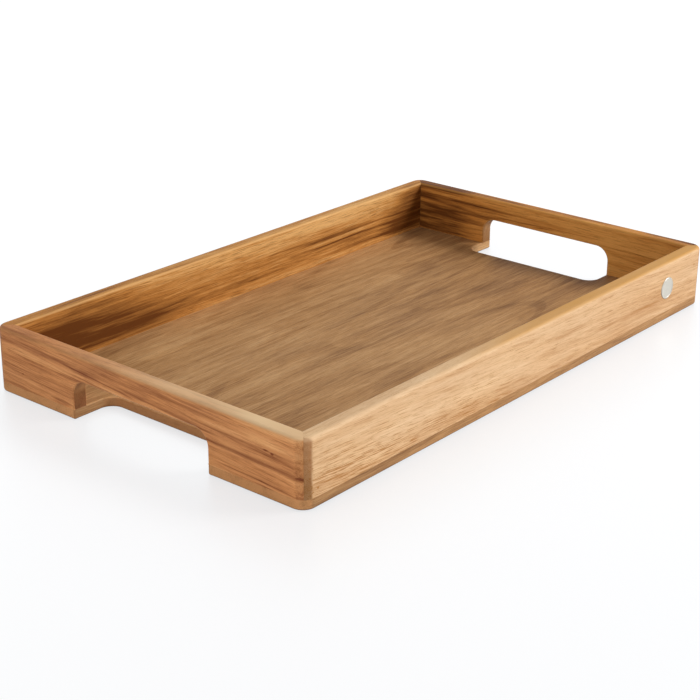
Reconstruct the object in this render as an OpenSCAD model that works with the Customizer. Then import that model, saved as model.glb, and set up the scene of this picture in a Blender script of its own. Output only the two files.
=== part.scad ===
// Wooden serving tray: four mitred rails on an edge-glued base board.
// Each end rail is cut away below, which leaves a carrying bar, and the base is notched there for the fingers.
// Origin: middle of the underside. X runs along the tray, Y from front to back, Z up.

/* [Overall] */
// Length over the end rails
tray_l = 500; // [420:5:600]
// Width over the long rails
tray_w = 300; // [260:5:400]
// Height from the table to the rim
tray_h = 50; // [44:1:70]
// Radius of the four upright corners
corner_r = 10; // [4:0.5:12]

/* [Rails] */
// Thickness of the rails
rail_t = 12; // [11:0.5:16]
// Rounding of the two edges of the rim
rim_r = 2; // [0.5:0.25:3]

/* [Base] */
// Thickness of the base board
base_t = 7.5; // [6.5:0.5:10]
// Width of each of the three inner staves, the outer two take what is left
stave_w = 60; // [50:1:70]
// Rounding of the base's lower outer edge
base_edge_r = 2.5; // [0.5:0.25:3]

/* [Handles] */
// Width of the opening below the carrying bar
grip_w = 131; // [100:1:150]
// Height of the carrying bar
bar_h = 19; // [14:0.5:24]
// Radius of the opening's upper corners
grip_r = 12; // [6:0.5:14]
// Depth of the finger notch in the base, from the tray's end
notch_depth = 35; // [28:1:45]
// Radius of the finger notch's inner corners
notch_r = 10; // [5:0.5:14]
// Rounding of the edges that the hand touches
grip_edge_r = 1.5; // [0.5:0.25:2]

/* [Mitre splines] */
// Thickness of a spline
spline_t = 3; // [2:0.25:3.5]
// Width of a spline across the mitre
spline_w = 10; // [8:0.5:11]
// Height of a spline, which stops below the rim
spline_h = 30; // [20:1:33]
// Distance of a spline from the inside corner, along the mitre
spline_in = 4.5; // [4:0.25:5.5]

/* [Dowels] */
// Diameter of a dowel
dowel_d = 6; // [4:0.5:7]
// Length of a dowel
dowel_l = 25; // [18:1:30]
// How far a dowel stands in the base
dowel_seat = 5; // [3:0.5:5.5]
// Chamfer on a dowel's ends
dowel_chamfer = 1; // [0.25:0.25:1.5]
// Number of dowels under each long rail
long_dowels = 5; // [3:1:7]
// Distance of the outer dowels from the ends of a long rail
long_dowel_in = 40; // [30:1:60]
// Distance of the dowels from both ends of an end rail's foot
foot_dowel_in = 18; // [12:1:22]

/* [Badge] */
// Diameter of the badge
badge_d = 18; // [12:0.5:22]
// Thickness of the badge
badge_t = 1.4; // [1:0.1:2]
// Depth of the badge's seat in the front rail
badge_seat = 0.8; // [0.4:0.1:1]
// Bevel round the badge's face
badge_bevel = 0.4; // [0.1:0.1:0.5]
// Diameter of the pin behind the badge
badge_pin_d = 2.5; // [1.5:0.25:4]
// Length of the pin behind the badge
badge_pin_l = 6; // [3:0.5:8]
// Distance of the badge's centre from the right end
badge_in = 57.5; // [40:0.5:100]
// Height of the badge's centre above the table
badge_z = 28; // [25:0.5:32]

/* [Fits] */
// Clearance on each side of a spline, dowel or pin in its hole
fit = 0.1; // [0.05:0.05:0.2]
// Glue space beyond the end of a dowel or pin
glue_gap = 0.5; // [0.2:0.1:0.8]

/* [Hidden] */
$fn = 96;
// How far a cutting shape runs past the surface that it cuts
over = 1;
// Underside of the carrying bar
grip_top = tray_h - bar_h;
// Dowel places, as distances from the middle of a rail
long_dowel_x = [
    for (i = [0 : long_dowels - 1])
        (tray_l - 2 * long_dowel_in) * (i / (long_dowels - 1) - 0.5)
];
foot_near = grip_w / 2 + foot_dowel_in;
foot_far = tray_w / 2 - rail_t - foot_dowel_in;
end_dowel_x = [-foot_far, -foot_near, foot_near, foot_far];
// Edges of the five staves, from front to back
stave_y = [-tray_w / 2, -1.5 * stave_w, -0.5 * stave_w, 0.5 * stave_w, 1.5 * stave_w, tray_w / 2];

// Rounding tools. Each is what a rounding of radius r takes off an edge.

// Section at the origin, with the wood towards +X and +Y
module corner_bit(r) {
    difference() {
        translate([-over, -over]) square(r + over);
        translate([r, r]) circle(r);
    }
}

// Straight edge along X, with the wood towards +Y and +Z
module edge_bit(len, r) {
    rotate([90, 0, 90]) linear_extrude(len, center = true) corner_bit(r);
}

// Upright edge of height h, with the wood towards +X and +Y
module upright_bit(h, r) {
    translate([0, 0, -over]) linear_extrude(h + 2 * over) corner_bit(r);
}

// Edge round an outside corner of radius bend, with the wood inside it and towards +Z
module outside_bend_bit(bend, r, sweep) {
    rotate_extrude(angle = sweep) translate([bend, 0]) mirror([1, 0]) corner_bit(r);
}

// Edge round an inside corner of radius bend, with the wood outside it and towards +Z
module inside_bend_bit(bend, r, sweep) {
    rotate_extrude(angle = sweep) translate([bend, 0]) corner_bit(r);
}

// Draws its children and their mirror image in X
module both_ends() {
    for (side = [0, 1]) mirror([side, 0, 0]) children();
}

// Draws its children and their mirror image in Y
module both_sides() {
    for (side = [0, 1]) mirror([0, side, 0]) children();
}

// Places for the pieces. A rail is made along X with its outer face on Y = 0, then turned into place.

module at_front() { translate([0, -tray_w / 2, 0]) children(); }
module at_back() { rotate(180) at_front() children(); }
module at_right() { rotate(90) translate([0, -tray_l / 2, 0]) children(); }
module at_left() { rotate(180) at_right() children(); }

// Foot of a spline in the mitre at the right end of a rail: X runs outwards along the mitre, Y across it
module at_mitre(len) {
    translate([len / 2 - rail_t, rail_t, base_t]) rotate(-45) translate([spline_in, 0, 0]) children();
}

// Centres of the dowels on the base's upper face, along a rail's middle line
module at_dowels(places) {
    for (x = places) translate([x, rail_t / 2, base_t]) children();
}

// Centre of the badge on the front rail's outer face, with Z into the wood
module at_badge() {
    translate([tray_l / 2 - badge_in, 0, badge_z]) rotate([-90, 0, 0]) children();
}

// Rails

// Roundings of the rim: the outer edge, its turn into each corner, and the inner edge
module rim_rounding(len) {
    translate([0, 0, tray_h]) mirror([0, 0, 1]) {
        edge_bit(len - 2 * corner_r, rim_r);
        both_ends()
            translate([len / 2 - corner_r, corner_r, 0]) rotate(-90) outside_bend_bit(corner_r, rim_r, 60);
        translate([0, rail_t, 0]) mirror([0, 1, 0]) edge_bit(len, rim_r);
    }
}

module spline_slot() {
    translate([-spline_t / 2 - fit, -spline_w / 2 - fit, -over])
        cube([spline_t + 2 * fit, spline_w + 2 * fit, spline_h + glue_gap + over]);
}

module rail_dowel_hole() {
    translate([0, 0, -over]) cylinder(d = dowel_d + 2 * fit, h = dowel_l - dowel_seat + glue_gap + over);
}

// A mitred rail with its rounded rim, spline slots and dowel holes
module rail(len, dowel_places) {
    difference() {
        translate([0, 0, base_t]) linear_extrude(tray_h - base_t) polygon([
            [-len / 2, 0],
            [len / 2, 0],
            [len / 2 - rail_t, rail_t],
            [-len / 2 + rail_t, rail_t]
        ]);
        both_ends() translate([-len / 2, 0, 0]) upright_bit(tray_h, corner_r);
        rim_rounding(len);
        both_ends() at_mitre(len) spline_slot();
        at_dowels(dowel_places) rail_dowel_hole();
    }
}

// Outline of the opening below the carrying bar, with X along the rail and Y up
module grip_outline() {
    difference() {
        translate([-grip_w / 2, base_t - over]) square([grip_w, grip_top - base_t + over]);
        for (side = [0, 1])
            mirror([side, 0]) translate([-grip_w / 2, grip_top]) mirror([0, 1]) corner_bit(grip_r);
    }
}

// Rounding round the opening, on the rail's outer face
module grip_face_rounding() {
    translate([0, 0, grip_top]) edge_bit(grip_w - 2 * grip_r, grip_edge_r);
    both_ends() {
        translate([grip_w / 2 - grip_r, 0, grip_top - grip_r])
            rotate([-90, -90, 0]) inside_bend_bit(grip_r, grip_edge_r, 90);
        translate([grip_w / 2, 0, base_t - over])
            linear_extrude(grip_top - grip_r - base_t + over) corner_bit(grip_edge_r);
    }
}

module end_rail() {
    difference() {
        rail(tray_w, end_dowel_x);
        translate([0, rail_t + over, 0]) rotate([90, 0, 0]) linear_extrude(rail_t + 2 * over) grip_outline();
        grip_face_rounding();
        translate([0, rail_t, 0]) mirror([0, 1, 0]) grip_face_rounding();
    }
}

module front_rail() {
    color("burlywood") at_front() difference() {
        rail(tray_l, long_dowel_x);
        at_badge() {
            translate([0, 0, -over]) cylinder(d = badge_d + 2 * fit, h = badge_seat + over);
            cylinder(d = badge_pin_d + 2 * fit, h = badge_seat + badge_pin_l + glue_gap);
        }
    }
}

module back_rail() { color("peru") at_back() rail(tray_l, long_dowel_x); }
module left_end_rail() { color("sienna") at_left() end_rail(); }
module right_end_rail() { color("chocolate") at_right() end_rail(); }

// Base board

// Outline of the finger notch at the right end
module notch_outline() {
    difference() {
        translate([tray_l / 2 - notch_depth, -grip_w / 2]) square([notch_depth + over, grip_w]);
        for (side = [0, 1])
            mirror([0, side]) translate([tray_l / 2 - notch_depth, -grip_w / 2]) corner_bit(notch_r);
    }
}

// Rounding of the finger notch's lower edge at the right end, from its inner edge out to x_out
module notch_rounding(x_out) {
    x_in = tray_l / 2 - notch_depth;
    cheek = x_out - x_in - notch_r;
    translate([x_in, 0, 0]) rotate(90) edge_bit(grip_w - 2 * notch_r, grip_edge_r);
    both_sides() {
        translate([x_in + notch_r, grip_w / 2 - notch_r, 0])
            rotate(90) inside_bend_bit(notch_r, grip_edge_r, 90);
        translate([x_out - cheek / 2, grip_w / 2, 0]) edge_bit(cheek, grip_edge_r);
    }
}

// Rounding of the base's lower outer edge
module base_edge_rounding() {
    both_sides() {
        translate([0, -tray_w / 2, 0]) edge_bit(tray_l - 2 * corner_r, base_edge_r);
        both_ends()
            translate([tray_l / 2 - corner_r, corner_r - tray_w / 2, 0])
                rotate(-90) outside_bend_bit(corner_r, base_edge_r, 90);
    }
    both_ends() translate([tray_l / 2, 0, 0]) rotate(90) edge_bit(tray_w - 2 * corner_r, base_edge_r);
}

module base_dowel_hole() {
    translate([0, 0, -dowel_seat]) cylinder(d = dowel_d + 2 * fit, h = dowel_seat + over);
}

// The whole base board, before it is taken as staves
module base_board() {
    difference() {
        translate([-tray_l / 2, -tray_w / 2, 0]) cube([tray_l, tray_w, base_t]);
        both_ends() both_sides() translate([-tray_l / 2, -tray_w / 2, 0]) upright_bit(base_t, corner_r);
        both_ends() {
            translate([0, 0, -over]) linear_extrude(base_t + 2 * over) notch_outline();
            both_sides()
                translate([tray_l / 2, grip_w / 2, 0]) mirror([1, 0, 0]) upright_bit(base_t, grip_edge_r);
            notch_rounding(tray_l / 2 + over);
            translate([0, 0, base_t]) mirror([0, 0, 1]) notch_rounding(tray_l / 2 - rail_t);
        }
        base_edge_rounding();
        at_front() at_dowels(long_dowel_x) base_dowel_hole();
        at_back() at_dowels(long_dowel_x) base_dowel_hole();
        at_left() at_dowels(end_dowel_x) base_dowel_hole();
        at_right() at_dowels(end_dowel_x) base_dowel_hole();
    }
}

// One stave of the base, counted from the front
module base_stave(number) {
    color("tan") intersection() {
        base_board();
        translate([-tray_l / 2 - over, stave_y[number - 1], -over])
            cube([tray_l + 2 * over, stave_y[number] - stave_y[number - 1], base_t + 2 * over]);
    }
}

// Joinery

module spline() {
    color("wheat") at_front() at_mitre(tray_l)
        translate([-spline_t / 2, -spline_w / 2, 0]) cube([spline_t, spline_w, spline_h]);
}

module spline_front_right() { spline(); }
module spline_front_left() { mirror([1, 0, 0]) spline(); }
module spline_back_right() { mirror([0, 1, 0]) spline(); }
module spline_back_left() { mirror([1, 0, 0]) mirror([0, 1, 0]) spline(); }

// A dowel with chamfered ends that stands on the bottom of its hole in the base
module dowel() {
    radius = dowel_d / 2;
    color("wheat") translate([0, 0, -dowel_seat]) rotate_extrude() polygon([
        [0, 0],
        [radius - dowel_chamfer, 0],
        [radius, dowel_chamfer],
        [radius, dowel_l - dowel_chamfer],
        [radius - dowel_chamfer, dowel_l],
        [0, dowel_l]
    ]);
}

module front_dowels() { at_front() at_dowels(long_dowel_x) dowel(); }
module back_dowels() { at_back() at_dowels(long_dowel_x) dowel(); }
module left_end_dowels() { at_left() at_dowels(end_dowel_x) dowel(); }
module right_end_dowels() { at_right() at_dowels(end_dowel_x) dowel(); }

// Bare metal disc with a bevelled face and a pin that holds it in the front rail
module badge() {
    proud = badge_t - badge_seat;
    color("silver") at_front() at_badge() rotate_extrude() polygon([
        [0, -proud],
        [badge_d / 2 - badge_bevel, -proud],
        [badge_d / 2, badge_bevel - proud],
        [badge_d / 2, badge_seat],
        [badge_pin_d / 2, badge_seat],
        [badge_pin_d / 2, badge_seat + badge_pin_l],
        [0, badge_seat + badge_pin_l]
    ]);
}

front_rail();
back_rail();
left_end_rail();
right_end_rail();
base_stave(1);  // base_stave_1
base_stave(2);  // base_stave_2
base_stave(3);  // base_stave_3
base_stave(4);  // base_stave_4
base_stave(5);  // base_stave_5
spline_front_left();
spline_front_right();
spline_back_left();
spline_back_right();
front_dowels();
back_dowels();
left_end_dowels();
right_end_dowels();
badge();
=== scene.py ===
"""Looks of a wooden serving tray: mitred rails on a five-stave base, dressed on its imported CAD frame."""

import math

import bmesh
import bpy
from mathutils import Matrix, Vector


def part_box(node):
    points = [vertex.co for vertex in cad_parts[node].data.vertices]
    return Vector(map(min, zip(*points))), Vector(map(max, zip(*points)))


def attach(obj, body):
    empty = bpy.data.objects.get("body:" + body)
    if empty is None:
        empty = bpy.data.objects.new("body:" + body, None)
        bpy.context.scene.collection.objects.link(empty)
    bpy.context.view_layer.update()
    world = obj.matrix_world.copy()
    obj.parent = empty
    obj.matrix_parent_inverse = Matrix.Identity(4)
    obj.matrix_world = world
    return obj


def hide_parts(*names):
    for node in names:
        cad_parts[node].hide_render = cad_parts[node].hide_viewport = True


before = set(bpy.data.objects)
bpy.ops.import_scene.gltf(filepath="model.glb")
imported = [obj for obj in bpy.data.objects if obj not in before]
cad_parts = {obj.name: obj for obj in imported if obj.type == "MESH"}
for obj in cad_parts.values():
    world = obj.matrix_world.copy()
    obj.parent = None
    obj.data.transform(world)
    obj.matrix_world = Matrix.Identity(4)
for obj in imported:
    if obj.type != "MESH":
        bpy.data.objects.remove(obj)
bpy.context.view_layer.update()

bl_info = {
    "name": "Serving Tray",
    "version": (1, 0, 0),
    "blender": (4, 5, 0),
    "location": "3D View > Sidebar > Tray",
    "description": "Builds a wooden serving tray with mitred rails, a stave base and cut-out handles",
    "category": "Object",
}

MM = 0.001
PER_METRE = 1000.0
BODY = "root"
SAME = 1e-6  # places closer than this are one

FIT = 0.1 * MM  # play round a piece in its hole
OVER = 1 * MM  # how far a cutter reaches past the wood
DOWEL_DEPTH = 5 * MM  # of a dowel in the base
DOWEL_PLAY = 0.5 * MM  # above a dowel in its rail
DOWEL_ROW_INSET = 40 * MM  # from the tray's end to the last dowel of a long row
DOWEL_FOOT_INSET = 18 * MM  # from the opening or the inner corner to a dowel of an end rail
SPLINE_SHIFT = 4.5 * MM  # from the rails' inner corner outwards to the middle of a spline
SPLINE_SLOT = 30.5 * MM  # height of a spline's slot above the base
BADGE_BACK = 0.8 * MM  # depth of the badge's back in the rail
PIN_RADIUS = 1.25 * MM
PIN_END = 6.8 * MM  # depth of the pin's tip in the rail

# Boxes of the CAD nodes, which the default sizes come from
FRONT_LOW, FRONT_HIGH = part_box("front_rail")
LEFT_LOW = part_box("left_end_rail")[0]
MIDDLE_LOW, MIDDLE_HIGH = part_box("base_stave_3")
BADGE_LOW, BADGE_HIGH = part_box("badge")
SPLINE_LOW, SPLINE_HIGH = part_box("spline_front_right")
DOWEL_LOW, DOWEL_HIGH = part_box("front_dowels")


def length(label, note, default):
    """A size in metres that a user may change."""
    return bpy.props.FloatProperty(
        name=label, description=note, default=default, min=0.0, max=1.0, precision=5, unit="LENGTH"
    )


def colour(label, note, red, green, blue):
    """A colour that a user may change, written in the 0 to 255 values of a screen."""
    linear = [((c / 255 + 0.055) / 1.055) ** 2.4 for c in (red, green, blue)]
    return bpy.props.FloatVectorProperty(
        name=label, description=note, default=linear, size=3, min=0.0, max=1.0, subtype="COLOR"
    )


class TraySizes(bpy.types.PropertyGroup):
    """Sizes of the tray's pieces."""

    long: length("Length", "Length over the end rails", LEFT_LOW.x * -2)
    wide: length("Width", "Width over the long rails", FRONT_LOW.y * -2)
    high: length("Height", "Height from the table to the rim", FRONT_HIGH.z)
    rail: length("Rail thickness", "Thickness of the four rails", FRONT_HIGH.y - FRONT_LOW.y)
    base: length("Base thickness", "Thickness of the base board", FRONT_LOW.z)
    corner: length("Corner radius", "Radius of the four upright corners", 10 * MM)
    rim: length("Rim rounding, inside", "Rounding of the rim's inner edge", 2 * MM)
    rim_outside: length("Rim rounding, outside", "Rounding of the rim's outer edge", 3 * MM)
    stave: length("Stave width", "Width of the three inner staves", MIDDLE_HIGH.y - MIDDLE_LOW.y)
    base_round: length("Base rounding", "Rounding of the base's lower outer edge", 1.6 * MM)
    grip: length("Grip width", "Width of the opening in an end rail", 131 * MM)
    grip_top: length("Grip height", "Height of the opening's upper edge above the table", 31 * MM)
    grip_corner: length("Grip corner", "Radius of the opening's upper corners", 12 * MM)
    notch: length("Notch depth", "Depth of the finger notch in the base", -LEFT_LOW.x - MIDDLE_HIGH.x)
    notch_corner: length("Notch corner", "Radius of the notch's inner corners", 10 * MM)
    grip_round: length("Grip rounding", "Rounding of the edges that the hand touches", 1.5 * MM)
    arris: length("Arris", "Easing of the sharp edges at the joints", 0.2 * MM)
    hairline: length("Hairline", "Easing along the glued seams between staves", 0.06 * MM)
    badge: length("Badge diameter", "Diameter of the round badge", BADGE_HIGH.x - BADGE_LOW.x)
    dowel: length("Dowel diameter", "Diameter of a dowel", DOWEL_HIGH.y - DOWEL_LOW.y)
    dowel_long: length("Dowel length", "Length of a dowel", DOWEL_HIGH.z - DOWEL_LOW.z)
    spline_thick: length("Spline thickness", "Thickness of a mitre spline", 3 * MM)
    spline_wide: length("Spline width", "Width of a mitre spline across the joint", 10 * MM)


class TrayColours(bpy.types.PropertyGroup):
    """Colours of the boards and the badge: pale and dark grain, and the body between them."""

    front_pale: colour("Front rail, pale", "Pale grain of the front rail", 234, 201, 160)
    front_body: colour("Front rail, body", "Body of the front rail", 217, 178, 136)
    front_dark: colour("Front rail, dark", "Dark grain of the front rail", 168, 112, 52)
    front_end: colour("Front rail, end grain", "Rounded ends of the front rail", 142, 86, 42)
    front_rim: colour("Front rail, rim", "Oiled rim of the front rail", 206, 152, 80)
    back_pale: colour("Back rail, pale", "Pale grain of the back rail", 230, 181, 116)
    back_body: colour("Back rail, body", "Body of the back rail", 192, 132, 66)
    back_dark: colour("Back rail, dark", "Dark grain of the back rail", 102, 56, 16)
    left_pale: colour("Left end rail, pale", "Pale grain of the left end rail", 228, 170, 114)
    left_body: colour("Left end rail, body", "Body of the left end rail", 203, 139, 87)
    left_dark: colour("Left end rail, dark", "Dark grain of the left end rail", 120, 62, 32)
    # The dark sawn colour in the left opening is partly painted shade
    left_end: colour("Left end rail, end grain", "Sawn grain in the left opening", 94, 66, 30)
    # The left rim's pale colour is a painted sheen towards the front corner
    left_rim: colour("Left end rail, rim", "Worn rim of the left end rail", 236, 203, 158)
    right_pale: colour("Right end rail, pale", "Pale grain of the right end rail", 222, 160, 84)
    right_body: colour("Right end rail, body", "Body of the right end rail", 194, 130, 60)
    right_dark: colour("Right end rail, dark", "Dark grain of the right end rail", 98, 54, 16)
    right_end: colour("Right end rail, end grain", "Sawn grain in the right opening", 186, 151, 116)
    base_pale: colour("Base, pale", "Pale grain of the base", 207, 166, 119)
    base_body: colour("Base, body", "Body of the base", 178, 135, 89)
    base_dark: colour("Base, dark", "Dark grain of the base", 116, 78, 46)
    base_end: colour("Base, end grain", "End grain of the base", 198, 140, 90)
    joinery_pale: colour("Joinery, pale", "Pale grain of the dowels and splines", 226, 192, 146)
    joinery_dark: colour("Joinery, dark", "Dark flecks of the dowels and splines", 168, 122, 78)
    badge_metal: colour("Badge", "Metal of the badge", 191, 187, 177)


class Field:
    """A node socket that takes part in Python sums: each operator adds a Math node."""

    def __init__(self, nodes, socket):
        self.nodes = nodes
        self.socket = socket

    def math(self, operation, *others):
        return self.nodes.add("ShaderNodeMath", {"operation": operation}, dict(enumerate(others)))

    def __add__(self, other):
        return self.math("ADD", self, other)

    def __sub__(self, other):
        return self.math("SUBTRACT", self, other)

    def __rsub__(self, other):
        return self.math("SUBTRACT", other, self)

    def __mul__(self, other):
        return self.math("MULTIPLY", self, other)

    def __truediv__(self, other):
        return self.math("DIVIDE", self, other)

    def __rtruediv__(self, other):
        return self.math("DIVIDE", other, self)

    def __pow__(self, other):
        return self.math("POWER", self, other)

    def __abs__(self):
        return self.math("ABSOLUTE", self)

    __radd__ = __add__
    __rmul__ = __mul__

    def root(self):
        return self.math("SQRT", self)

    def sine(self):
        return self.math("SINE", self)

    def held(self, low=0.0, high=1.0):
        return self.math("MAXIMUM", self.math("MINIMUM", self, high), low)


class Nodes:
    """A node tree under construction."""

    def __init__(self, tree):
        self.tree = tree
        self.column = 0

    def add(self, kind, settings=None, sockets=None, out=0):
        """Adds a node, sets it up, fills sockets by identifier, name or place, and returns one output."""
        node = self.tree.nodes.new(kind)
        node.location = (self.column * 180 - 4000, 0)
        self.column += 1
        for name, value in (settings or {}).items():
            if name == "stops":
                self.set_stops(node.color_ramp.elements, value)
            else:
                setattr(node, name, value)
        for name, value in (sockets or {}).items():
            self.fill(self.find(node.inputs, name), value)
        return Field(self, self.find(node.outputs, out)) if node.outputs else None

    def find(self, sockets, name):
        if isinstance(name, int):
            return sockets[name]
        for socket in sockets:
            if socket.identifier == name:
                return socket
        return sockets[name]

    def fill(self, socket, value):
        if isinstance(value, Field):
            self.tree.links.new(value.socket, socket)
        elif isinstance(value, (tuple, list, Vector)) and socket.type == "RGBA":
            socket.default_value = (*value[:3], 1.0)
        else:
            socket.default_value = value

    def set_stops(self, stops, wanted):
        while len(stops) < len(wanted):
            stops.new(0.5)
        for stop, (place, shade) in zip(stops, wanted):
            stop.position = place
            stop.color = (*shade[:3], 1.0)

    def vector(self, x, y, z):
        return self.add("ShaderNodeCombineXYZ", None, {0: x, 1: y, 2: z})

    def split(self, vector):
        first = self.add("ShaderNodeSeparateXYZ", None, {0: vector})
        return [Field(self, socket) for socket in first.socket.node.outputs]

    def noise(self, vector, detail=2.0, rough=0.5):
        """Noise about zero, from about -0.5 to 0.5."""
        sockets = {"Vector": vector, "Scale": 1.0, "Detail": detail, "Roughness": rough}
        return self.add("ShaderNodeTexNoise", None, sockets) - 0.5

    def spots(self, vector, inner, outer):
        """1 inside scattered spots, 0 outside them."""
        gap = self.add("ShaderNodeTexVoronoi", None, {"Vector": vector, "Scale": 1.0})
        return 1.0 - self.ease(gap, inner, outer)

    def ease(self, value, low, high):
        """0 below low, 1 above high, smooth between."""
        settings = {"interpolation_type": "SMOOTHSTEP"}
        return self.add("ShaderNodeMapRange", settings, {"Value": value, "From Min": low, "From Max": high})

    def mix(self, share, first, second, blend="MIX"):
        """Colours mixed by a share."""
        settings = {"data_type": "RGBA", "blend_type": blend}
        sockets = {"Factor_Float": share, "A_Color": first, "B_Color": second}
        return self.add("ShaderNodeMix", settings, sockets, "Result_Color")

    def dress(self, shader, shade, rough, height, strength, depth):
        """Gives a shader its colour, its roughness and a bump."""
        bump = self.add("ShaderNodeBump", None, {"Strength": strength, "Distance": depth, "Height": height})
        self.fill(shader.inputs["Base Color"], shade)
        self.fill(shader.inputs["Roughness"], rough)
        self.fill(shader.inputs["Normal"], bump)


def new_material(name):
    """An empty material, its node tree and its surface shader."""
    material = bpy.data.materials.new(name)
    material.use_nodes = True
    material.node_tree.nodes.clear()
    nodes = Nodes(material.node_tree)
    shader = nodes.add("ShaderNodeBsdfPrincipled")
    nodes.add("ShaderNodeOutputMaterial", None, {"Surface": shader})
    return material, nodes, shader.socket.node


class Board:
    """How one board was sawn and how its grain looks; lengths are in millimetres."""

    LOOK = {
        "pith": (60, 90),  # place of the pith, across and through the board
        "tilt": 0.02,  # how the pith leans across the board
        "dip": 0,  # how the pith leans through the board
        "slope": 0,  # how the grain leans across the board
        "wander": 6,  # how far the grain swings
        "band": 6,  # width of a growth band
        "streak": 4,  # width of a streak
        "bands": 1,  # strengths of the parts of the grain, from here to rings
        "streaks": 1,
        "fibres": 0.8,
        "patches": 0.5,
        "dashes": 0.5,
        "rings": 0,
        "dash_run": None,  # where dashes crowd: along from and to, across from and to
        "shade": 0.5,  # tone from dark, 0, to pale, 1
        "corner": 0.4,  # strength of end grain on a rounded corner
        "end": 0.8,  # strength of end grain on a sawn end
        "middle": None,  # for a rail: how far its middle is from the tray's
        "worn": None,  # the rim's own colour, along from and to, strength: a painted sheen on the left rail, a golden tone on the front rail
        "notch": None,  # the finger notch, whose walls get painted shade: its inner end along, its half width across
        "lines": (),  # figure lines, some of them painted light and shade: along and across from, along and across to, width, strength
        "inner_lines": (),  # the same, on the rail's inner side alone
        "knots": (),  # along, across, half length, half width, strength
    }

    def __init__(self, grain, seed, **look):
        """Grain names the axes along, across and through the board."""
        self.grain = grain
        self.seed = seed
        for name, value in {**self.LOOK, **look}.items():
            setattr(self, name, value)


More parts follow.
